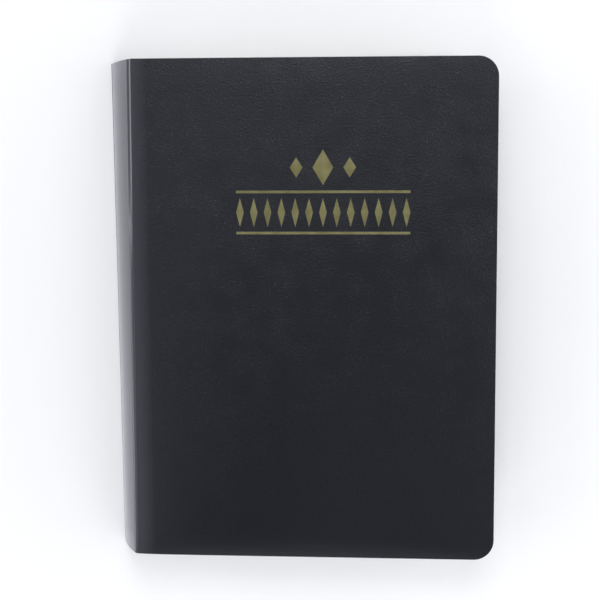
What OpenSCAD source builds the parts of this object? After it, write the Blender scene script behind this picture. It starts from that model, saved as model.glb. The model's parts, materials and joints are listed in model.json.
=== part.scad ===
// Soft-cover pocket photo album for 102 x 152 mm prints, lying closed on its back cover.
// X runs from the spine to the fore-edge, Y from the foot to the head of the cover, Z is up.

/* [Prints and pockets] */
// Width of the print that one pocket holds
print_width = 102; // [80:1:130]
// Height of the print that one pocket holds
print_height = 152; // [120:1:210]
// Free room between the print and the pocket on each side
print_clearance = 1; // [0.5:0.1:2]
// Width of the welded seam along the pocket's edges
seam_width = 2; // [1:0.1:4]
// Height of the divider's lip above the pocket's mouth
lip_height = 3; // [1:0.5:8]

/* [Leaves] */
// Number of leaves, each with a pocket on both faces
leaf_count = 20; // [6:1:20]
// Thickness of the opaque divider sheet in a leaf
divider_thickness = 0.3; // [0.2:0.02:0.5]
// Thickness of each clear pocket film
film_thickness = 0.12; // [0.08:0.01:0.2]
// Air gap between the divider and each film
pocket_gap = 0.04; // [0.02:0.01:0.1]
// Air gap between neighbouring leaves in the closed album
leaf_gap = 0.26; // [0.2:0.01:0.5]
// Width of the thin bendable binding margin of a leaf
margin_width = 5; // [4:0.5:9]
// Thickness of the binding margin, where the films are fused
margin_thickness = 0.2; // [0.12:0.01:0.24]
// Diameter of the weld bead along the root of a leaf
root_bead_diameter = 0.3; // [0.26:0.01:0.36]
// Corner radius of the leaves at the fore-edge
leaf_corner_radius = 3; // [1:0.5:8]

/* [Covers] */
// Thickness of the cover sheet, the same in covers and spine
cover_thickness = 1; // [0.8:0.05:1.4]
// How far the covers reach past the leaves at the head and at the foot
end_square = 3; // [1.5:0.1:8]
// Cover width beyond the width of a leaf
fore_square = 6.4; // [4:0.1:14]
// Corner radius of both covers at the fore-edge
cover_corner_radius = 6.6; // [2:0.1:15]
// Running gap between a hinge bead and the edge of a cover
hinge_clearance = 0.1; // [0.05:0.01:0.2]
// Thickness of the thin web that joins a hinge bead to the spine
web_thickness = 0.4; // [0.25:0.05:0.6]

/* [Spine] */
// How far the spine of the lying album leans outwards, from the front crease to the back one
spine_lean = 8.4; // [4:0.1:12]
// Angle that the rounded spine sweeps from the back crease to the front crease
spine_sweep = 24; // [10:1:30]
// Length of the thin web between a crease and the edge of the spine panel
web_length = 0.8; // [0.7:0.05:1.4]
// Thickness of the binding strip that carries the leaves
strip_thickness = 0.5; // [0.3:0.05:0.8]
// Weld gap between the binding strip and the spine panel
weld_gap = 0.05; // [0.03:0.01:0.1]
// Gap between the binding strip and the root beads of the leaves
root_clearance = 0.1; // [0.05:0.01:0.2]

/* [Foil ornament] */
// Overall width of the stamped ornament
ornament_width = 57; // [30:1:80]
// Height of the band between the centres of the two rules
band_height = 13.4; // [8:0.2:24]
// Width of each rule
rule_width = 0.9; // [0.4:0.1:2]
// Number of lozenges in the band
lozenge_count = 13; // [5:2:17]
// Width of one lozenge in the band
lozenge_width = 2.5; // [1:0.1:3]
// Free height between a lozenge and the edge of a rule
lozenge_inset = 1; // [0.5:0.1:3]
// Height of the large lozenge above the band
crest_height = 12; // [4:0.5:14]
// Width of the large lozenge above the band
crest_width = 7; // [3:0.5:10]
// Height of the small lozenges beside the large one
side_lozenge_height = 7; // [2:0.2:10]
// Width of the small lozenges beside the large one
side_lozenge_width = 4.4; // [2:0.2:8]
// Gap between the large lozenge and a small one
side_lozenge_gap = 3; // [0.6:0.2:6]
// Distance from the crease to the middle of the ornament
ornament_x = 63; // [50:0.2:70]
// Distance from the foot of the cover to the middle of the band
ornament_y = 115; // [60:0.2:120]
// Height of the crest's middle above the middle of the band
crest_rise = 14.6; // [13:0.2:26]
// Thickness of the foil
foil_thickness = 0.1; // [0.05:0.01:0.15]
// How far the foil lies below the face of the cover
foil_depth = 0.02; // [0.01:0.01:0.05]
// Gap between the foil and the wall of its stamped recess
foil_gap = 0.03; // [0.02:0.01:0.08]

/* [Hidden] */
$fn = 64;

leaf_thickness = divider_thickness + 2 * (pocket_gap + film_thickness);
leaf_pitch = leaf_thickness + leaf_gap;
pocket_width = print_width + 2 * print_clearance;
pocket_height = print_height + 2 * print_clearance;
sheet_width = pocket_width + 2 * seam_width;
leaf_width = margin_width + sheet_width;
film_height = seam_width + pocket_height;
leaf_height = film_height + lip_height;

cover_width = leaf_width + fore_square;
cover_height = leaf_height + 2 * end_square;
album_thickness = leaf_count * leaf_pitch + leaf_gap + 2 * cover_thickness;

// The creases lie at mid-thickness of the two covers.
bead_radius = cover_thickness / 2;
back_crease_z = cover_thickness / 2;
crease_rise = album_thickness - cover_thickness;
front_crease_z = back_crease_z + crease_rise;

// The rounded spine is an arc between the two creases, with its angles taken from upright.
spine_chord = sqrt(pow(spine_lean, 2) + pow(crease_rise, 2));
spine_radius = spine_chord / 2 / sin(spine_sweep / 2);
back_spine_angle = atan(spine_lean / crease_rise) - spine_sweep / 2;
front_spine_angle = back_spine_angle + spine_sweep;
web_angle = web_length / spine_radius * 180 / PI;
front_crease_x = (spine_lean + cover_thickness / 2 - cover_width) / 2;
back_crease_x = front_crease_x - spine_lean;
spine_centre_x = back_crease_x + spine_radius * cos(back_spine_angle);
spine_centre_z = back_crease_z - spine_radius * sin(back_spine_angle);

strip_outer_radius = spine_radius - cover_thickness / 2 - weld_gap;
strip_inner_radius = strip_outer_radius - strip_thickness;
root_radius = strip_inner_radius - root_clearance - root_bead_diameter / 2;
strip_low_angle = asin((cover_thickness + leaf_gap - spine_centre_z) / strip_inner_radius);
strip_high_angle = asin(
    (album_thickness - cover_thickness - leaf_gap - spine_centre_z) / strip_outer_radius
);

band_gap = band_height - rule_width;
lozenge_height = band_gap - 2 * lozenge_inset;
lozenge_pitch = (ornament_width - lozenge_width) / (lozenge_count - 1);
side_lozenge_step = (crest_width + side_lozenge_width) / 2 + side_lozenge_gap;
foil_recess = foil_thickness + foil_depth;

function two_digits(i) = str(i < 10 ? "0" : "", i);
function leaf_z(i) = cover_thickness + leaf_gap + leaf_thickness / 2 + (i - 1) * leaf_pitch;
function root_x(i) = spine_centre_x - sqrt(pow(root_radius, 2) - pow(leaf_z(i) - spine_centre_z, 2));

// Sheet outline with square corners along X = 0 and rounded corners at the fore-edge.
module sheet_outline(width, height, radius) {
    translate([0, -height / 2])
        square([width - radius, height]);
    translate([0, radius - height / 2])
        square([width, height - 2 * radius]);
    for (side = [-1, 1])
        translate([width - radius, side * (height / 2 - radius)])
            circle(r = radius);
}

// Strip that follows the spine's curve over the whole height of the cover.
module spine_arc(inner_radius, outer_radius, from_angle, to_angle, height) {
    translate([spine_centre_x, height / 2, spine_centre_z])
        rotate([90, 0, 0])
            rotate([0, 0, 180 - to_angle])
                rotate_extrude(angle = to_angle - from_angle)
                    translate([inner_radius, 0])
                        square([outer_radius - inner_radius, height]);
}

module crease_bead(x, z) {
    translate([x, cover_height / 2, z])
        rotate([90, 0, 0])
            cylinder(r = bead_radius, h = cover_height);
}

module hinge_web(from_angle, to_angle) {
    spine_arc(
        spine_radius - web_thickness / 2, spine_radius + web_thickness / 2,
        from_angle, to_angle, cover_height
    );
}

// A cover starts just past the hinge bead, so that it can turn about the crease.
module cover_panel(crease_x, z) {
    edge = bead_radius + hinge_clearance;
    translate([crease_x + edge, 0, z])
        linear_extrude(cover_thickness)
            sheet_outline(cover_width - edge, cover_height, cover_corner_radius);
}

module lozenge(width, height) {
    polygon([[-width / 2, 0], [0, -height / 2], [width / 2, 0], [0, height / 2]]);
}

// Band of upright lozenges between two rules, below a row of three larger ones.
// The inset makes every shape that much smaller all round.
module ornament_outline(inset) {
    trim = 2 * inset;
    for (side = [-1, 1])
        translate([0, side * band_height / 2])
            square([ornament_width - trim, rule_width - trim], center = true);
    for (k = [0:lozenge_count - 1])
        translate([k * lozenge_pitch - (ornament_width - lozenge_width) / 2, 0])
            lozenge(lozenge_width - trim, lozenge_height - trim);
    translate([0, crest_rise])
        lozenge(crest_width - trim, crest_height - trim);
    for (side = [-1, 1])
        translate([side * side_lozenge_step, crest_rise])
            lozenge(side_lozenge_width - trim, side_lozenge_height - trim);
}

module at_ornament(z) {
    translate([front_crease_x + ornament_x, ornament_y - cover_height / 2, z])
        children();
}

module back_cover() {
    color("#2c2d31")
        cover_panel(back_crease_x, 0);
}

module back_hinge_web() {
    color("#3a3b40") {
        crease_bead(back_crease_x, back_crease_z);
        hinge_web(back_spine_angle, back_spine_angle + web_angle);
    }
}

module spine_panel() {
    color("#7f8186")
        spine_arc(
            spine_radius - cover_thickness / 2, spine_radius + cover_thickness / 2,
            back_spine_angle + web_angle, front_spine_angle - web_angle, cover_height
        );
}

module front_hinge_web() {
    color("#3a3b40") {
        crease_bead(front_crease_x, front_crease_z);
        hinge_web(front_spine_angle - web_angle, front_spine_angle);
    }
}

module front_cover() {
    color("#2c2d31")
        difference() {
            cover_panel(front_crease_x, album_thickness - cover_thickness);
            at_ornament(album_thickness - foil_recess)
                linear_extrude(cover_thickness)
                    ornament_outline(0);
        }
}

module foil_ornament() {
    color("#8a8650")
        at_ornament(album_thickness - foil_recess)
            linear_extrude(foil_thickness)
                ornament_outline(foil_gap);
}

module binding_strip() {
    color("#4a4b50")
        spine_arc(
            strip_inner_radius, strip_outer_radius,
            strip_low_angle, strip_high_angle, leaf_height
        );
}

// Opaque sheet that separates the two back-to-back pockets of a leaf.
module divider(i) {
    color("#e6e4dc")
        translate([root_x(i) + margin_width, 0, leaf_z(i) - divider_thickness / 2])
            linear_extrude(divider_thickness)
                sheet_outline(sheet_width, leaf_height, leaf_corner_radius);
}

// Clear films of a leaf, with the fused binding margin and its root bead.
module pockets(i) {
    film_offset = divider_thickness / 2 + pocket_gap;
    color("#c9d3dc")
        translate([root_x(i), 0, leaf_z(i)]) {
            translate([0, leaf_height / 2, 0])
                rotate([90, 0, 0])
                    cylinder(d = root_bead_diameter, h = leaf_height);
            translate([0, -leaf_height / 2, -margin_thickness / 2])
                cube([margin_width - pocket_gap, leaf_height, margin_thickness]);
            for (side = [-1, 1])
                translate([margin_width, -lip_height / 2, side * (film_offset + film_thickness / 2)])
                    translate([0, 0, -film_thickness / 2])
                        linear_extrude(film_thickness)
                            sheet_outline(sheet_width, film_height, leaf_corner_radius);
        }
}

back_cover();
back_hinge_web();
spine_panel();
front_hinge_web();
front_cover();
binding_strip();
foil_ornament();
for (i = [1:leaf_count]) {
    divider(i);
    pockets(i);
}
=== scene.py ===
import json
import math
import random

import bmesh
import bpy
from mathutils import Matrix, Vector


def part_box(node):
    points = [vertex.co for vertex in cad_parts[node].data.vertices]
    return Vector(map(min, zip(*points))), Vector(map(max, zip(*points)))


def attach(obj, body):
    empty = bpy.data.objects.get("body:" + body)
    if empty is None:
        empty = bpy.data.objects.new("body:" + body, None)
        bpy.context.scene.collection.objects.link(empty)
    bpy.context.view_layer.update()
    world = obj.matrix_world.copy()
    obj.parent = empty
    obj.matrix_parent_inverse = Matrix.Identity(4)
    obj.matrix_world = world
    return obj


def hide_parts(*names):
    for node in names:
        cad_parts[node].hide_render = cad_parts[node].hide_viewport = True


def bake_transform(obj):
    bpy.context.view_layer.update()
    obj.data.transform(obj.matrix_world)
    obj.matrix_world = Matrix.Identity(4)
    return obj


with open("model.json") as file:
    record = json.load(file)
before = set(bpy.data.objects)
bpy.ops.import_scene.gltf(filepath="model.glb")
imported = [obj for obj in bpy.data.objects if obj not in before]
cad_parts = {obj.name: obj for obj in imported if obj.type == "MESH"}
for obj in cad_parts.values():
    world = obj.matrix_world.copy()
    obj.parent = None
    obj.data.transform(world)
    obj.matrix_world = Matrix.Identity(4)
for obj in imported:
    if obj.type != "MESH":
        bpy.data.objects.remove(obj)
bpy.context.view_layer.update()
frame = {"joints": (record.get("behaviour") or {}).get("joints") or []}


# The camera: held above the album, a little towards its head and fore-edge. The album lies
# slightly skewed, so its front cover and this camera are turned against the back cover.
mm = 0.001
cover_low, cover_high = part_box("front_cover")
joints = {joint["name"]: joint for joint in frame["joints"]}
front_crease = Vector(joints["cover_fold"]["pos_m"])
skew = math.radians(0.38)

# The camera's place is taken from the middle of the front crease: across, along and above it.
camera_place = Vector((84.07, 44.85, 421.15)) * mm
tilt_about_x, tilt_about_y, turn = (math.radians(angle) for angle in (-5.56, 3.87, 0.22))
camera_data = bpy.data.cameras.new("camera")
camera_data.sensor_width = 36
camera_data.lens = 77.6
camera = bpy.data.objects.new("camera", camera_data)
camera.matrix_world = (
    Matrix.Translation((front_crease.x, 0, cover_high.z))
    @ Matrix.Rotation(-skew, 4, "Z")
    @ Matrix.Translation(camera_place)
    @ Matrix.Rotation(tilt_about_x, 4, "X")
    @ Matrix.Rotation(tilt_about_y, 4, "Y")
    @ Matrix.Rotation(turn, 4, "Z")
)
bpy.context.scene.collection.objects.link(camera)
bpy.context.scene.camera = camera
bpy.context.scene.view_settings.view_transform = "Standard"


# The studio: a white paper sweep under the album, pale walls round it that darken towards the
# ceiling, and soft lamps. The largest is a window far out on the spine's side, which gives the
# rounded spine its light.
def linear(value):
    """An sRGB hex colour as the linear colour that a socket takes."""
    parts = [int(value[k : k + 2], 16) / 255 for k in (1, 3, 5)]
    shades = [p / 12.92 if p <= 0.04045 else ((p + 0.055) / 1.055) ** 2.4 for p in parts]
    return (*shades, 1.0)


def add(tree, kind, links=None, values=None, **settings):
    """Adds a node with its settings, its input values and its incoming links."""
    node = tree.nodes.new(kind)
    for name, value in settings.items():
        setattr(node, name, value)
    for name, value in (values or {}).items():
        node.inputs[name].default_value = value
    for name, source in (links or {}).items():
        tree.links.new(source, node.inputs[name])
    return node


# The sockets of a Mix node that mixes two colours, which share their names with others.
first_colour, second_colour, mixed_colour = 6, 7, 2


def finish_material(name, build):
    """A material whose surface is the node that build(tree) returns."""
    material = bpy.data.materials.new(name)
    material.use_nodes = True
    tree = material.node_tree
    tree.nodes.clear()
    surface = build(tree)
    add(tree, "ShaderNodeOutputMaterial", {"Surface": surface.outputs["BSDF"]})
    return material


def matt_paper(tree):
    # Matt paper scatters light evenly. Faint clouds, 80 mm wide, keep it from looking flat.
    place = add(tree, "ShaderNodeTexCoord").outputs["Object"]
    clouds = add(tree, "ShaderNodeTexNoise", {"Vector": place}, {"Scale": 1 / (80 * mm)})
    shade = add(tree, "ShaderNodeMix", {"Factor": clouds.outputs["Fac"]}, {
        first_colour: linear("#f2f3f6"), second_colour: linear("#f4f5f8"),
    }, data_type="RGBA")
    return add(tree, "ShaderNodeBsdfPrincipled", {"Base Color": shade.outputs[mixed_colour]}, {
        "Roughness": 0.9, "Specular IOR Level": 0.1,
    })


sweep_mesh = bpy.data.meshes.new("paper_sweep")
corners = [(-3, -3, 0), (3, -3, 0), (3, 3, 0), (-3, 3, 0)]
sweep_mesh.from_pydata(corners, [], [(0, 1, 2, 3)])
sweep_mesh.materials.append(finish_material("matt_white_paper", matt_paper))
sweep = bpy.data.objects.new("paper_sweep", sweep_mesh)
bpy.context.scene.collection.objects.link(sweep)

# Each lamp's place, its width and height, and its power in watts.
softboxes = {
    "window_far": ((-1.20, 0.00, 0.50), (1.20, 0.80), 6.4),
    "window_sill": ((-0.45, 0.00, 0.02), (0.90, 0.04), 1.3),
    "spine_side_head": ((-0.60, 0.40, 0.12), (0.50, 0.16), 0.6),
    "spine_near": ((-0.16, 0.00, 0.30), (0.40, 0.10), 0.12),
    "overhead": ((0.00, 0.00, 1.10), (0.50, 0.50), 0.17),
    "overhead_head": ((0.05, 0.30, 1.00), (0.50, 0.40), 0.6),
    "overhead_foot": ((0.20, -0.30, 1.00), (0.50, 0.40), 0.15),
    "head_high": ((0.05, 0.55, 0.70), (0.50, 0.40), 2.2),
    "head_low": ((0.05, 0.40, 0.08), (0.50, 0.12), 0.75),
    "foot_high": ((-0.10, -0.80, 0.70), (0.60, 0.40), 2.0),
    "foot_near": ((0.00, -0.35, 0.12), (0.50, 0.16), 0.5),
    "fore_edge_high": ((0.70, 0.00, 0.70), (0.70, 0.50), 1.4),
    "fore_edge_foot": ((0.45, -0.45, 0.50), (0.40, 0.40), 0.48),
    "fore_edge_near": ((0.35, 0.00, 0.12), (0.50, 0.16), 0.42),
}
for name, (place, size, power) in softboxes.items():
    lamp = bpy.data.lights.new(name, "AREA")
    lamp.shape = "RECTANGLE"
    lamp.size, lamp.size_y = size
    lamp.energy = power
    holder = bpy.data.objects.new(name, lamp)
    holder.location = place
    holder.rotation_euler = (-Vector(place)).to_track_quat("-Z", "Y").to_euler()
    holder.visible_camera = False
    bpy.context.scene.collection.objects.link(holder)

world = bpy.data.worlds.new("studio_walls")
world.use_nodes = True
world.node_tree.nodes.clear()
bpy.context.scene.world = world
direction = add(world.node_tree, "ShaderNodeTexCoord").outputs["Generated"]
height = add(world.node_tree, "ShaderNodeSeparateXYZ", {"Vector": direction}).outputs["Z"]
walls = add(world.node_tree, "ShaderNodeValToRGB", {"Fac": height})
walls.color_ramp.elements[0].color = linear("#f3f4f7")
walls.color_ramp.elements[0].position = 0.03
walls.color_ramp.elements[1].color = linear("#616265")
walls.color_ramp.elements[1].position = 0.3
air = add(world.node_tree, "ShaderNodeBackground", {"Color": walls.outputs["Color"]})
add(world.node_tree, "ShaderNodeOutputWorld", {"Surface": air.outputs["Background"]})


# The back cover: a panel of 1 mm black polypropylene sheet, die-cut with the spine and the
# front cover from one piece. The album lies on it. Cut edges are slightly rounded.
def sand_grained_sheet(tree):
    # Polypropylene rolled with a sand grain: matt black, with a dull sheen that the grain
    # breaks up. Fine pale specks painted on the grain stand in for its glints.
    place = add(tree, "ShaderNodeTexCoord").outputs["Object"]
    # Hands have rubbed the grain flatter towards the foot, and in patches about 10 mm wide.
    # Bending has stretched it nearly smooth on the spine.
    axes = add(tree, "ShaderNodeSeparateXYZ", {"Vector": place})
    kept_across = add(tree, "ShaderNodeMapRange", {"Value": axes.outputs["X"]}, {
        "From Min": front_crease.x - 1 * mm, "From Max": front_crease.x + 4 * mm,
        "To Min": 0.25, "To Max": 1.3,
    })
    kept = add(tree, "ShaderNodeMapRange", {
        "Value": axes.outputs["Y"], "To Max": kept_across.outputs["Result"],
    }, {"From Min": -80 * mm, "From Max": 65 * mm, "To Min": 0.1})
    patches = add(tree, "ShaderNodeTexNoise", {"Vector": place}, {
        "Scale": 1 / (10 * mm), "Detail": 3.0,
    })
    sharpness = add(tree, "ShaderNodeMapRange", {
        "Value": patches.outputs["Fac"], "To Max": kept.outputs["Result"],
    }, {"From Min": 0.05, "From Max": 0.65})
    # Real grains are 0.1 to 0.2 mm wide. They are drawn at 0.6 mm, so that they show.
    grain = add(tree, "ShaderNodeTexNoise", {"Vector": place}, {
        "Scale": 1 / (0.6 * mm), "Detail": 2.0, "Roughness": 0.6,
    })
    bump = add(tree, "ShaderNodeBump", {
        "Height": grain.outputs["Fac"], "Strength": sharpness.outputs["Result"],
    }, {"Distance": 0.27 * mm})
    shade = add(tree, "ShaderNodeMapRange", {"Value": grain.outputs["Fac"]}, {
        "From Min": 0.3, "From Max": 0.75,
    })
    worn = add(tree, "ShaderNodeMix", {"Factor": shade.outputs["Result"]}, {
        first_colour: linear("#0a0b0f"), second_colour: linear("#16171f"),
    }, data_type="RGBA")
    # Painted glints: some larger grains, a millimetre or more apart, are coloured pale on top.
    glint_noise = add(tree, "ShaderNodeTexNoise", {"Vector": place}, {
        "Scale": 1 / (0.5 * mm), "Detail": 1.0,
    })
    painted_glint_specks = add(tree, "ShaderNodeMapRange", {
        "Value": glint_noise.outputs["Fac"], "To Max": sharpness.outputs["Result"],
    }, {"From Min": 0.67, "From Max": 0.8})
    colour = add(tree, "ShaderNodeMix", {
        "Factor": painted_glint_specks.outputs["Result"], first_colour: worn.outputs[mixed_colour],
    }, {second_colour: linear("#42434d")}, data_type="RGBA")
    # Painted highlight: the sheet is coloured paler for a few millimetres each side of the
    # crease.
    from_crease = add(tree, "ShaderNodeMath", {0: axes.outputs["X"]}, {
        1: front_crease.x,
    }, operation="SUBTRACT")
    away = add(tree, "ShaderNodeMath", {
        "Value": from_crease.outputs["Value"],
    }, operation="ABSOLUTE")
    # The mask of that painted highlight: full within 1 mm of the crease, none beyond 6 mm.
    stretched = add(tree, "ShaderNodeMapRange", {"Value": away.outputs["Value"]}, {
        "From Min": 1 * mm, "From Max": 6 * mm, "To Min": 1.0, "To Max": 0.0,
    })
    painted_crease_light = add(tree, "ShaderNodeMix", {
        "Factor": stretched.outputs["Result"], first_colour: colour.outputs[mixed_colour],
    }, {second_colour: linear("#303137")}, data_type="RGBA")
    # Handling leaves broad patches, tens of millimetres wide, slightly smoother.
    handling = add(tree, "ShaderNodeTexNoise", {"Vector": place}, {
        "Scale": 1 / (45 * mm), "Detail": 3.0,
    })
    roughness = add(tree, "ShaderNodeMapRange", {"Value": handling.outputs["Fac"]}, {
        "From Min": 0.3, "From Max": 0.7, "To Min": 0.28, "To Max": 0.32,
    })
    return add(tree, "ShaderNodeBsdfPrincipled", {
        "Base Color": painted_crease_light.outputs[mixed_colour],
        "Roughness": roughness.outputs["Result"],
        "Normal": bump.outputs["Normal"],
    }, {
        "IOR": 1.49, "Specular IOR Level": 0.4, "Specular Tint": linear("#f3f6ff"),
        "Sheen Weight": 0.7, "Sheen Roughness": 0.3, "Sheen Tint": linear("#f3f6ff"),
    })


def new_piece(name, mesh, material):
    """An object for a finished mesh, with its flat faces and folds kept crisp."""
    mesh.materials.clear()
    mesh.materials.append(material)
    mesh.shade_smooth()
    mesh.set_sharp_from_angle(angle=math.radians(35))
    piece = bpy.data.objects.new(name, mesh)
    bpy.context.scene.collection.objects.link(piece)
    return piece


def to_mesh(name, shape):
    """Turns edited geometry into a mesh with its faces outwards."""
    bmesh.ops.recalc_face_normals(shape, faces=shape.faces)
    mesh = bpy.data.meshes.new(name)
    shape.to_mesh(mesh)
    shape.free()
    return mesh


def panel_outline(start, end, half_height, radius, steps=14):
    """A panel's outline: square corners at its start in X, round ones at its end."""
    points = [(start, half_height), (start, -half_height)]
    for side, first in ((-1, -90), (1, 0)):
        for k in range(steps + 1):
            angle = math.radians(first + 90 * k / steps)
            points.append((
                end - radius + radius * math.cos(angle),
                side * (half_height - radius) + radius * math.sin(angle),
            ))
    return points


def flat_panel(outline, low, high, rounding):
    """A flat sheet whose edges are rounded, except along its start in X."""
    shape = bmesh.new()
    face = shape.faces.new([shape.verts.new((x, y, low)) for x, y in outline])
    lid = bmesh.ops.extrude_face_region(shape, geom=[face])["geom"]
    lid_points = [part for part in lid if isinstance(part, bmesh.types.BMVert)]
    bmesh.ops.translate(shape, verts=lid_points, vec=(0, 0, high - low))
    start = min(x for x, y in outline)
    hair = 0.0001 * mm
    rims = [
        edge
        for edge in shape.edges
        if abs(edge.verts[0].co.z - edge.verts[1].co.z) < hair
        and max(point.co.x for point in edge.verts) > start + hair
    ]
    bmesh.ops.recalc_face_normals(shape, faces=shape.faces)
    if rounding:
        bmesh.ops.bevel(
            shape, geom=rims, offset=rounding, segments=3, profile=0.5, affect="EDGES"
        )
    return shape


back_crease = Vector(joints["spine_fold"]["pos_m"])
half_height = cover_high.y
sheet_thickness = cover_high.z - cover_low.z
cover_corner = 6.6 * mm
cut_rounding = 0.2 * mm
# The panels end this far from each crease, and the folds fill the rest.
fold_reach = 2 * mm
back_low, back_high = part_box("back_cover")
black_sheet = finish_material("sand_grained_polypropylene", sand_grained_sheet)

back_outline = panel_outline(
    back_crease.x + fold_reach, back_high.x, half_height, cover_corner
)
back_mesh = to_mesh("back_cover_panel", flat_panel(
    back_outline, back_low.z, back_high.z, cut_rounding
))
back_turn = (
    Matrix.Translation((back_crease.x, 0, 0))
    @ Matrix.Rotation(skew, 4, "Z")
    @ Matrix.Translation((-back_crease.x, 0, 0))
)
back_mesh.transform(back_turn)
back_cover = new_piece("back_cover_panel", back_mesh, black_sheet)
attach(back_cover, "back_cover")
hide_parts("back_cover")


# The spine panel: the same black sheet, slightly bulged by the leaves behind it. It leans out
# from the front crease to the back one, further and flatter at the head than at the foot.
half_sheet = sheet_thickness / 2
# The front fold hangs this far below the level of the flat cover.
spine_drop = 0.65 * mm


def lean_at_front(y):
    """How far the spine leans from upright beside the front crease: more towards the head."""
    towards_head = min(max(y / (65 * mm), -1), 1)
    return math.radians(33.5 + 2.5 * towards_head)


def spine_arc(y):
    """The spine's length at height y, and a point so far below the front crease on it."""
    back_x = back_crease.x - y * math.sin(skew)
    lean = front_crease.x + y * math.sin(skew) - back_x
    rise = front_crease.z - spine_drop - back_crease.z
    front_lean = lean_at_front(y)
    sweep = 2 * (front_lean - math.atan(lean / rise))
    radius = math.hypot(lean, rise) / 2 / math.sin(sweep / 2)
    centre_x = back_x + radius * math.cos(front_lean - sweep)
    centre_z = back_crease.z - radius * math.sin(front_lean - sweep)

    def point(distance, above):
        angle = front_lean - distance / radius
        return (
            centre_x - (radius + above) * math.cos(angle),
            centre_z + (radius + above) * math.sin(angle),
        )

    return radius * sweep, point


def strip_from_foot_to_head(section, end, count=24):
    """A strip of sheet with rounded ends, whose two skins section(y) gives at a height y."""
    # Each end is rounded in three rows: where the row lies, and its share of the thickness.
    inner_end = end - cut_rounding
    rims = [(end, 0.6), (end - 0.3 * cut_rounding, 0.86), (inner_end, 1)]
    rows = [(-y, share) for y, share in rims]
    rows += [(-inner_end + 2 * inner_end * k / count, 1) for k in range(1, count)]
    rows += rims[::-1]
    shape = bmesh.new()
    loops = []
    for y, share in rows:
        outside, inside = [], []
        for (ox, oz), (ix, iz) in zip(*section(y)):
            mx, mz = (ox + ix) / 2, (oz + iz) / 2
            outside.append((mx + (ox - mx) * share, y, mz + (oz - mz) * share))
            inside.append((mx + (ix - mx) * share, y, mz + (iz - mz) * share))
        loops.append([shape.verts.new(point) for point in outside + inside[::-1]])
    for low, high in zip(loops, loops[1:]):
        for k, point in enumerate(low):
            after = (k + 1) % len(low)
            shape.faces.new((point, low[after], high[after], high[k]))
    for loop in (loops[0], loops[-1]):
        for k in range(len(loop) // 2 - 1):
            shape.faces.new((loop[k], loop[k + 1], loop[-2 - k], loop[-1 - k]))
    return shape


def spine_section(y, steps=36):
    length, point = spine_arc(y)
    stops = [fold_reach + (length - 2 * fold_reach) * k / steps for k in range(steps + 1)]
    sides = (half_sheet, -half_sheet)
    return tuple([point(stop, above) for stop in stops] for above in sides)


spine = new_piece(
    "spine_skin", to_mesh("spine_skin", strip_from_foot_to_head(spine_section, half_height)),
    black_sheet,
)
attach(spine, "spine")
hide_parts("spine_panel")


# The two folds: living hinges, scored into the sheet with a heated rule. Each is a narrow
# groove beside a rounded ridge. The front one is sharp at the head and fades to the foot.
def smooth_line(points, steps=4):
    """Points on a smooth curve through the given ones."""
    padded = [points[0], *points, points[-1]]
    line = []
    for a, b, c, d in zip(padded, padded[1:], padded[2:], padded[3:]):
        for k in range(steps):
            t = k / steps
            line.append(tuple(
                q + 0.5 * t * (
                    r - p + t * (2 * p - 5 * q + 4 * r - s + t * (3 * (q - r) + s - p))
                )
                for p, q, r, s in zip(a, b, c, d)
            ))
    return line + [points[-1]]


# The front fold at three heights y, in mm: how much deeper the cover's face lies there, and
# the outside of its section, as distances across the fold and heights above the face.
fold_at_foot = [
    (-1.42, -1.353), (-1.25, -1.119), (-1.07, -0.875), (-0.9, -0.67), (-0.74, -0.53),
    (-0.58, -0.425), (-0.4, -0.33), (-0.2, -0.24), (0.02, -0.155), (0.28, -0.08),
    (0.58, -0.03), (0.9, -0.008), (1.3, 0), (1.65, 0), (2, 0),
]
fold_in_middle = [
    (-1.42, -1.003), (-1.28, -0.835), (-1.12, -0.645), (-0.98, -0.478), (-0.88, -0.37),
    (-0.79, -0.3), (-0.66, -0.25), (-0.45, -0.183), (-0.24, -0.118), (-0.05, -0.062),
    (0.1, -0.022), (0.24, -0.003), (1.2, 0), (1.6, 0), (2, 0),
]
fold_at_head = [
    (-1.42, -1.6), (-1.25, -1.5), (-1.0, -1.4), (-0.78, -1.33), (-0.62, -1.26),
    (-0.5, -1.19), (-0.39, -1.08), (-0.12, -0.56), (0.16, -0.05), (0.26, -0.005), (0.33, 0),
    (0.44, 0), (1.2, 0), (1.6, 0), (2, 0),
]
fold_stations = [(-65, 0.25, fold_at_foot), (15, 0.6, fold_in_middle), (45, 0.0, fold_at_head)]


def fold_shape(y):
    """How much deeper the face lies at height y, and the section's outside, both mixed."""
    low, high = fold_stations[:2] if y < fold_stations[1][0] * mm else fold_stations[1:]
    share = min(max((y / mm - low[0]) / (high[0] - low[0]), 0), 1)
    share = share * share * (3 - 2 * share)
    line = [
        tuple(a + (b - a) * share for a, b in zip(first, second))
        for first, second in zip(low[2], high[2])
    ]
    return (low[1] + (high[1] - low[1]) * share) * mm, line


def cover_level(distance, y, side):
    """The front cover's height at a distance from the fold, on its face (1) or below (-1)."""
    # The fold pulls the face down within some 15 mm. Below, the sheet sinks less, because the
    # rule has pressed it thinner.
    dip = (spine_drop + fold_shape(y)[0]) * math.exp(-max(0.0, distance) / (6 * mm))
    return front_crease.z + side * half_sheet - dip * (1 if side > 0 else 0.3)


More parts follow.
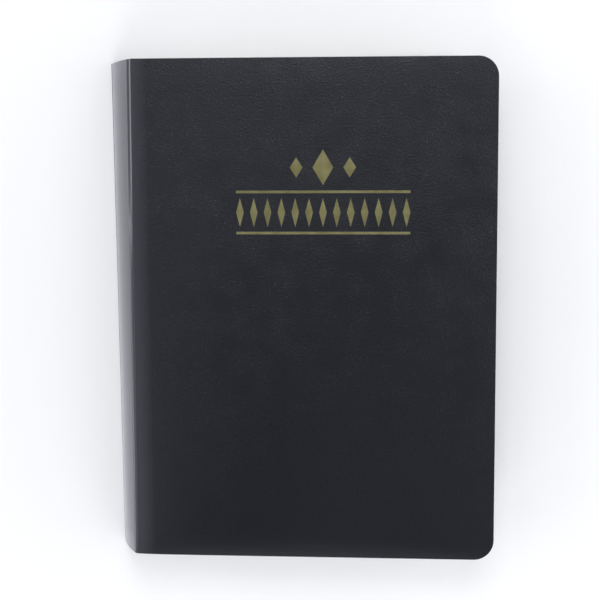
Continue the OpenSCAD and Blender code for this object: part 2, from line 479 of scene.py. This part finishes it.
def front_fold_section(y):
    point = spine_arc(y)[1]
    crease_x = front_crease.x + y * math.sin(skew)

    def on_cover(across, side, rise=0.0):
        return (crease_x + across * mm, cover_level(across * mm, y, side) + rise * mm)

    # The stations are drawn for the spine's lean at the head. Where it stands steeper, so does
    # the spine's side of the fold.
    steeper = 1 / math.tan(lean_at_front(y)) - 1 / math.tan(lean_at_front(half_height))
    spine_side_ends = -0.45
    outside = [point(fold_reach, half_sheet), point(1.85 * mm, half_sheet)]
    outside += [
        on_cover(across, 1, rise - steeper * max(0.0, spine_side_ends - across))
        for across, rise in fold_shape(y)[1]
    ]
    inside = [point(0.2 * mm * k, -half_sheet) for k in range(10, 0, -1)]
    inside += [on_cover(across, -1) for across in (0.7, 0.9, 1.1, 1.3, 1.5, 1.75, 2.0)]
    return smooth_line(outside), smooth_line(inside)


def back_fold_section(y):
    length, point = spine_arc(y)
    crease_x = back_crease.x - y * math.sin(skew)

    def beside(across, rise):
        """A point on the back cover's side, so many mm across and above the crease."""
        return (crease_x + across * mm, back_crease.z + rise * mm)

    def up(distance, above):
        """A point on the spine's side, so many mm up it and outside its middle."""
        return point(length - distance * mm, above * mm)

    outside = [
        up(2, 0.5), up(1.3, 0.49), up(0.95, 0.37), up(0.75, 0.3), up(0.5, 0.4), up(0.2, 0.52),
        beside(-0.42, -0.3), beside(-0.2, -0.46), beside(0.2, -0.5), beside(2, -0.5),
    ]
    inside = [
        up(2, -0.5), up(1.5, -0.5), up(1.15, -0.5), up(0.9, -0.48), beside(0.45, 0.45),
        beside(0.22, 0.2), beside(0.5, 0.36), beside(0.75, 0.48), beside(0.95, 0.5),
        beside(2, 0.5),
    ]
    return smooth_line(outside), smooth_line(inside)


front_fold = new_piece(
    "front_fold",
    to_mesh("front_fold", strip_from_foot_to_head(front_fold_section, half_height)),
    black_sheet,
)
below_front = spine_arc(0)[1](1.2 * mm, 0)
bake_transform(front_fold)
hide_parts("front_hinge_web")

back_fold = new_piece(
    "back_fold",
    to_mesh("back_fold", strip_from_foot_to_head(back_fold_section, half_height)),
    black_sheet,
)
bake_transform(back_fold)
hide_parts("back_hinge_web")


# The front cover: the third panel of the same sheet. A heated die has pressed the ornament's
# place into it, with sloping walls, before the foil went in.
def lozenge_row_nodes():
    """Geometry nodes for a row of lozenges with sloping sides, which runs along X."""
    tree = bpy.data.node_groups.new("lozenge_row", "GeometryNodeTree")
    for name, kind in (
        ("Count", "NodeSocketInt"),
        ("Pitch", "NodeSocketFloat"),
        ("Half Size", "NodeSocketVector"),
        ("Low Share", "NodeSocketFloat"),
        ("High Share", "NodeSocketFloat"),
        ("Material", "NodeSocketMaterial"),
    ):
        tree.interface.new_socket(name, in_out="INPUT", socket_type=kind)
    tree.interface.new_socket("Geometry", in_out="OUTPUT", socket_type="NodeSocketGeometry")
    sizes = add(tree, "NodeGroupInput").outputs
    step = add(tree, "ShaderNodeCombineXYZ", {"X": sizes["Pitch"]})
    line = add(tree, "GeometryNodeMeshLine", {
        "Count": sizes["Count"], "Offset": step.outputs["Vector"],
    })
    lozenge = add(tree, "GeometryNodeMeshCone", {
        "Radius Top": sizes["High Share"], "Radius Bottom": sizes["Low Share"],
    }, {"Vertices": 4, "Depth": 1.0})
    row = add(tree, "GeometryNodeInstanceOnPoints", {
        "Points": line.outputs["Mesh"],
        "Instance": lozenge.outputs["Mesh"],
        "Scale": sizes["Half Size"],
    })
    solid = add(tree, "GeometryNodeRealizeInstances", {"Geometry": row.outputs["Instances"]})
    coated = add(tree, "GeometryNodeSetMaterial", {
        "Geometry": solid.outputs["Geometry"], "Material": sizes["Material"],
    })
    add(tree, "NodeGroupOutput", {"Geometry": coated.outputs["Geometry"]})
    return tree


def grown(tree, inputs, start_mesh=None):
    """The plain mesh that a geometry node tree makes from its named inputs."""
    holder = bpy.data.objects.new("grown", start_mesh or bpy.data.meshes.new("grown"))
    bpy.context.scene.collection.objects.link(holder)
    modifier = holder.modifiers.new("nodes", "NODES")
    modifier.node_group = tree
    for item in tree.interface.items_tree:
        if item.item_type == "SOCKET" and item.in_out == "INPUT" and item.name in inputs:
            modifier[item.identifier] = inputs[item.name]
    evaluated = holder.evaluated_get(bpy.context.evaluated_depsgraph_get())
    mesh = bpy.data.meshes.new_from_object(evaluated)
    bpy.data.objects.remove(holder)
    return mesh


ornament_width = 57 * mm
band_height = 13.4 * mm
rule_width = 1.05 * mm
lozenge_width = 2.7 * mm
lozenge_height = band_height - rule_width - 2 * mm
crest_rise = 14.6 * mm
side_step = 8.7 * mm
ornament_x = 63 * mm
ornament_y = 115 * mm
lozenge_count = 13
lozenge_pitch = (ornament_width - lozenge_width) / (lozenge_count - 1)
crest_width, crest_height = 7 * mm, 12 * mm
side_width, side_height = 4.4 * mm, 7 * mm
lozenge_rows = [
    # count, pitch, width, height, X and Y of the row's middle
    (lozenge_count, lozenge_pitch, lozenge_width, lozenge_height, 0, 0),
    (1, 0, crest_width, crest_height, 0, crest_rise),
    (2, 2 * side_step, side_width, side_height, 0, crest_rise),
]
lozenge_tree = lozenge_row_nodes()


def ornament(inset_low, inset_high, low, high, material=None):
    """All the ornament's shapes between two levels, inset all round by so much at each."""
    shape = bmesh.new()
    for count, pitch, width, tall, middle_x, middle_y in lozenge_rows:
        inner_radius = width * tall / 2 / math.hypot(width, tall)
        row = grown(lozenge_tree, {
            "Count": count,
            "Pitch": pitch,
            "Half Size": (width / 2, tall / 2, high - low),
            "Low Share": 1 - inset_low / inner_radius,
            "High Share": 1 - inset_high / inner_radius,
            "Material": material,
        })
        row.transform(Matrix.Translation((middle_x - (count - 1) * pitch / 2, middle_y, low)))
        shape.from_mesh(row)
    for side in (-1, 1):
        rings = []
        for level, inset in ((low, inset_low), (high, inset_high)):
            x = ornament_width / 2 - inset
            y = rule_width / 2 - inset
            middle = side * band_height / 2
            rings.append([
                shape.verts.new((u * x, middle + v * y, level))
                for u, v in ((-1, -1), (1, -1), (1, 1), (-1, 1))
            ])
        shape.faces.new(rings[0][::-1])
        shape.faces.new(rings[1])
        for k in range(4):
            after = (k + 1) % 4
            shape.faces.new((rings[0][k], rings[0][after], rings[1][after], rings[1][k]))
    bmesh.ops.translate(shape, verts=shape.verts, vec=(
        front_crease.x + ornament_x, ornament_y - half_height, cover_high.z
    ))
    return to_mesh("ornament", shape)


stamp_depth = 0.15 * mm
wall_slope = 0.22 * mm
front_outline = panel_outline(
    front_crease.x + fold_reach, cover_high.x, half_height, cover_corner
)
front_shape = flat_panel(front_outline, cover_low.z, cover_high.z, cut_rounding)
# The panel is cut into bands, narrow ones beside the fold, so that it can sink smoothly there.
front_cuts = [
    ((front_crease.x + fold_reach + 0.1 * mm * k * k, 0, 0), (1, 0, 0)) for k in range(1, 18)
]
front_cuts += [((0, 12 * mm * k, 0), (0, 1, 0)) for k in range(-6, 7)]
for place, normal in front_cuts:
    bmesh.ops.bisect_plane(
        front_shape,
        geom=[*front_shape.verts, *front_shape.edges, *front_shape.faces],
        plane_co=place,
        plane_no=normal,
    )
# The panel sinks towards the fold. The last trace of it ends this far away.
sinking_ends = 30 * mm
sinking_fades = 12 * mm
for point in front_shape.verts:
    distance = point.co.x - front_crease.x
    fade = min(1, max(0, (sinking_ends - distance) / sinking_fades))
    for side, share in ((1, point.co.z - cover_low.z), (-1, cover_high.z - point.co.z)):
        sinking = front_crease.z + side * half_sheet - cover_level(distance, point.co.y, side)
        point.co.z -= fade * sinking * share / sheet_thickness
front_cover = new_piece(
    "front_cover_panel", to_mesh("front_cover_panel", front_shape), black_sheet
)

stamp_mesh = ornament(wall_slope, -wall_slope, -stamp_depth, stamp_depth)
stamp = bpy.data.objects.new("stamp", stamp_mesh)
bpy.context.scene.collection.objects.link(stamp)
pressing = front_cover.modifiers.new("pressing", "BOOLEAN")
pressing.operation = "DIFFERENCE"
pressing.solver = "EXACT"
pressing.object = stamp
stamped = bpy.data.meshes.new_from_object(
    front_cover.evaluated_get(bpy.context.evaluated_depsgraph_get())
)
front_cover.modifiers.remove(pressing)
bpy.data.objects.remove(stamp)
front_turn = (
    Matrix.Translation((front_crease.x, 0, 0))
    @ Matrix.Rotation(-skew, 4, "Z")
    @ Matrix.Translation((-front_crease.x, 0, 0))
)
stamped.transform(front_turn)
stamped.materials.clear()
stamped.materials.append(black_sheet)
front_cover.data = stamped
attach(front_cover, "front_cover")
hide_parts("front_cover")


# The foil: olive gold hot-stamping foil, pressed by the same heated die into its place in the
# front cover. It is microns thick and bonded to the sheet.
def stamped_foil(tree):
    # Metallised foil over a grained sheet: a soft metal gleam, broken by the grain below.
    place = add(tree, "ShaderNodeTexCoord").outputs["Object"]
    # The sheet's 0.15 mm grains show through, and are drawn here at 0.35 mm.
    grain = add(tree, "ShaderNodeTexNoise", {"Vector": place}, {
        "Scale": 1 / (0.35 * mm), "Detail": 2.0, "Roughness": 0.6,
    })
    bump = add(tree, "ShaderNodeBump", {"Height": grain.outputs["Fac"]}, {
        "Strength": 0.35, "Distance": 0.04 * mm,
    })
    # The press was a little uneven, so the foil is paler in patches a few millimetres wide.
    patches = add(tree, "ShaderNodeTexNoise", {"Vector": place}, {
        "Scale": 1 / (4 * mm), "Detail": 3.0,
    })
    tone = add(tree, "ShaderNodeMapRange", {"Value": patches.outputs["Fac"]}, {
        "From Min": 0.35, "From Max": 0.65,
    })
    gold = add(tree, "ShaderNodeMix", {"Factor": tone.outputs["Result"]}, {
        first_colour: linear("#6e6a43"), second_colour: linear("#827e57"),
    }, data_type="RGBA")
    return add(tree, "ShaderNodeBsdfPrincipled", {
        "Base Color": gold.outputs[mixed_colour], "Normal": bump.outputs["Normal"],
    }, {"Metallic": 0.4, "Roughness": 0.4})


gold_foil = finish_material("hot_stamped_foil", stamped_foil)
# It fills the bottom of its place, just inside the sloping walls.
foil_low, foil_high = -0.149 * mm, -0.08 * mm
low_inset, high_inset = wall_slope + 0.01 * mm, 0.12 * mm
foil_mesh = ornament(low_inset, high_inset, foil_low, foil_high, gold_foil)
foil_mesh.transform(front_turn)
foil = new_piece("foil_ornament_skin", foil_mesh, gold_foil)
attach(foil, "front_cover")
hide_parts("foil_ornament")


# The binding strip: a smooth dark strip of polypropylene, welded inside the spine. The roots
# of all the leaves are welded to it in turn.
def smooth_strip(tree):
    # Extruded polypropylene: smooth, with faint draw lines along its length.
    place = add(tree, "ShaderNodeTexCoord").outputs["Object"]
    stretched = add(tree, "ShaderNodeMapping", {"Vector": place}, {"Scale": (1, 0.02, 1)})
    lines = add(tree, "ShaderNodeTexNoise", {"Vector": stretched.outputs["Vector"]}, {
        "Scale": 1 / (0.6 * mm), "Detail": 2.0,
    })
    bump = add(tree, "ShaderNodeBump", {"Height": lines.outputs["Fac"]}, {
        "Strength": 0.3, "Distance": 0.03 * mm,
    })
    shade = add(tree, "ShaderNodeMix", {"Factor": lines.outputs["Fac"]}, {
        first_colour: linear("#2e2f33"), second_colour: linear("#3a3b40"),
    }, data_type="RGBA")
    return add(tree, "ShaderNodeBsdfPrincipled", {
        "Base Color": shade.outputs[mixed_colour], "Normal": bump.outputs["Normal"],
    }, {"Roughness": 0.35, "IOR": 1.49})


strip_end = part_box("binding_strip")[1].y
strip_gap = 0.05 * mm
strip_thickness = 0.5 * mm
strip_start = 1.0 * mm
strip_outside = -half_sheet - strip_gap
strip_inside = strip_outside - strip_thickness


def binding_section(y, steps=24):
    length, point = spine_arc(y)
    stops = [strip_start + (length - 2 * strip_start) * k / steps for k in range(steps + 1)]
    sides = (strip_outside, strip_inside)
    return tuple([point(stop, above) for stop in stops] for above in sides)


binding = new_piece(
    "binding_strip_skin",
    to_mesh("binding_strip_skin", strip_from_foot_to_head(binding_section, strip_end)),
    finish_material("extruded_polypropylene", smooth_strip),
)
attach(binding, "spine")
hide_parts("binding_strip")


# The leaves: twenty of them, each an off-white divider sheet between two clear films. The
# films are welded together round three sides and open at the head, and their fused margin is
# the binding edge, with a bead along its root.
def divider_card(tree):
    # Calendered card: off-white and matt, with fibres a few millimetres long.
    place = add(tree, "ShaderNodeTexCoord").outputs["Object"]
    stretched = add(tree, "ShaderNodeMapping", {"Vector": place}, {"Scale": (1, 0.25, 1)})
    fibres = add(tree, "ShaderNodeTexNoise", {"Vector": stretched.outputs["Vector"]}, {
        "Scale": 1 / (0.8 * mm), "Detail": 4.0, "Roughness": 0.7,
    })
    shade = add(tree, "ShaderNodeMix", {"Factor": fibres.outputs["Fac"]}, {
        first_colour: linear("#dddad1"), second_colour: linear("#efece5"),
    }, data_type="RGBA")
    bump = add(tree, "ShaderNodeBump", {"Height": fibres.outputs["Fac"]}, {
        "Strength": 0.2, "Distance": 0.03 * mm,
    })
    return add(tree, "ShaderNodeBsdfPrincipled", {
        "Base Color": shade.outputs[mixed_colour], "Normal": bump.outputs["Normal"],
    }, {"Roughness": 0.75})


def clear_film(tree):
    # Cast polypropylene film: clear and glossy, with shallow ripples some 25 mm apart.
    place = add(tree, "ShaderNodeTexCoord").outputs["Object"]
    ripples = add(tree, "ShaderNodeTexNoise", {"Vector": place}, {
        "Scale": 1 / (25 * mm), "Detail": 2.0,
    })
    bump = add(tree, "ShaderNodeBump", {"Height": ripples.outputs["Fac"]}, {
        "Strength": 0.6, "Distance": 1.0 * mm,
    })
    # Rubbing against prints leaves the film cloudier in patches.
    haze = add(tree, "ShaderNodeMapRange", {"Value": ripples.outputs["Fac"]}, {
        "From Min": 0.35, "From Max": 0.65, "To Min": 0.16, "To Max": 0.24,
    })
    return add(tree, "ShaderNodeBsdfPrincipled", {
        "Alpha": haze.outputs["Result"], "Normal": bump.outputs["Normal"],
    }, {"Base Color": linear("#dfe6ee"), "Roughness": 0.08, "IOR": 1.49})


def weld_rib_nodes():
    """Geometry nodes that set small raised ribs across a welded seam, all along it."""
    tree = bpy.data.node_groups.new("weld_ribs", "GeometryNodeTree")
    for name, kind in (
        ("Seam", "NodeSocketGeometry"),
        ("Pitch", "NodeSocketFloat"),
        ("Rib Size", "NodeSocketVector"),
        ("Material", "NodeSocketMaterial"),
    ):
        tree.interface.new_socket(name, in_out="INPUT", socket_type=kind)
    tree.interface.new_socket("Geometry", in_out="OUTPUT", socket_type="NodeSocketGeometry")
    sizes = add(tree, "NodeGroupInput").outputs
    seam = add(tree, "GeometryNodeMeshToCurve", {"Mesh": sizes["Seam"]})
    stops = add(tree, "GeometryNodeResampleCurve", {
        "Curve": seam.outputs["Curve"], "Length": sizes["Pitch"],
    }, mode="LENGTH")
    along = add(tree, "GeometryNodeInputTangent")
    turn = add(tree, "FunctionNodeAlignRotationToVector", {
        "Vector": along.outputs["Tangent"],
    }, axis="X", pivot_axis="Z")
    rib = add(tree, "GeometryNodeMeshCube", {"Size": sizes["Rib Size"]})
    ribs = add(tree, "GeometryNodeInstanceOnPoints", {
        "Points": stops.outputs["Curve"],
        "Instance": rib.outputs["Mesh"],
        "Rotation": turn.outputs["Rotation"],
    })
    solid = add(tree, "GeometryNodeRealizeInstances", {"Geometry": ribs.outputs["Instances"]})
    coated = add(tree, "GeometryNodeSetMaterial", {
        "Geometry": solid.outputs["Geometry"], "Material": sizes["Material"],
    })
    add(tree, "NodeGroupOutput", {"Geometry": coated.outputs["Geometry"]})
    return tree


pocket_low, pocket_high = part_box("pockets_01")
divider_low, divider_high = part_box("divider_01")
first_root = Vector(joints["leaf_01_turn"]["pos_m"])
bead_radius = 0.15 * mm
half_margin = 0.1 * mm
margin = divider_low.x - first_root.x
# The fused margin stops just short of the divider.
margin_end = margin - 0.04 * mm
leaf_end = divider_high.x - first_root.x
leaf_top = divider_high.y
lip = 3 * mm
film_outside = (pocket_high.z - pocket_low.z) / 2
film_thickness = 0.12 * mm
film_inside = film_outside - film_thickness
divider_half = (divider_high.z - divider_low.z) / 2
seam_width = 2 * mm
leaf_corner = 3 * mm
corner_steps = 6

divider_shape = flat_panel(
    panel_outline(margin, leaf_end, leaf_top, leaf_corner, corner_steps),
    -divider_half, divider_half, 0,
)
divider_mesh = to_mesh("divider", divider_shape)

film_material = finish_material("cast_clear_film", clear_film)
seam_points = [
    (margin + seam_width / 2, leaf_top - lip),
    (margin + seam_width / 2, -leaf_top + seam_width / 2),
    (leaf_end - seam_width / 2, -leaf_top + seam_width / 2),
    (leaf_end - seam_width / 2, leaf_top - lip),
]
seam_mesh = bpy.data.meshes.new("seam")
seam_mesh.from_pydata([(x, y, 0) for x, y in seam_points], [(0, 1), (1, 2), (2, 3)], [])
ribs_mesh = grown(weld_rib_nodes(), {
    "Pitch": 1.3 * mm,
    "Rib Size": (0.6 * mm, 1.5 * mm, 0.05 * mm),
    "Material": film_material,
}, seam_mesh)

pocket_shape = bmesh.new()
for side in (-1, 1):
    levels = sorted((side * film_inside, side * film_outside))
    film_shape = flat_panel(
        panel_outline(margin, leaf_end, leaf_top - lip / 2, leaf_corner, corner_steps),
        *levels, 0,
    )
    bmesh.ops.translate(film_shape, verts=film_shape.verts, vec=(0, -lip / 2, 0))
    for part, shift in ((to_mesh("film", film_shape), 0), (ribs_mesh, side * film_outside)):
        copy = part.copy()
        copy.transform(Matrix.Translation((0, 0, shift)))
        pocket_shape.from_mesh(copy)
        bpy.data.meshes.remove(copy)
# The bead is round but for the 84 degrees where the flat margin leaves it.
rings = []
for y in (-leaf_top, leaf_top):
    ring = []
    for k in range(11):
        angle = math.radians(42 + 276 * k / 10)
        ring.append((bead_radius * math.cos(angle), bead_radius * math.sin(angle)))
    ring += [(margin_end, -half_margin), (margin_end, half_margin)]
    rings.append([pocket_shape.verts.new((x, y, z)) for x, z in ring])
for k in range(len(rings[0])):
    after = (k + 1) % len(rings[0])
    pocket_shape.faces.new((rings[0][k], rings[0][after], rings[1][after], rings[1][k]))
pocket_shape.faces.new(rings[0])
pocket_shape.faces.new(rings[1])
pocket_mesh = to_mesh("pocket", pocket_shape)

card = finish_material("calendered_card", divider_card)
# No two leaves lie quite alike: each is shifted by some tenths of a millimetre, and turned by
# some hundredths of a degree.
lay = random.Random(7)
for number in range(1, 21):
    label = f"{number:02d}"
    root = Vector(joints[f"leaf_{label}_turn"]["pos_m"])
    share = (root.z - back_crease.z) / (front_crease.z - back_crease.z)
    turned = skew * (1 - 2 * share) + math.radians(lay.uniform(-0.05, 0.05))
    shift = Vector((lay.uniform(0, 0.2), lay.uniform(-0.4, 0.4), 0)) * mm
    place = Matrix.Translation(root + shift) @ Matrix.Rotation(turned, 4, "Z")
    for source, name, slot, material in (
        (divider_mesh, f"divider_{label}", "divider_sheet", card),
        (pocket_mesh, f"pockets_{label}", "pocket_film", film_material),
    ):
        mesh = source.copy()
        mesh.name = f"{name}_skin"
        mesh.transform(place)
        leaf = new_piece(f"{name}_skin", mesh, material)
        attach(leaf, f"leaf_{label}")
        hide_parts(name)
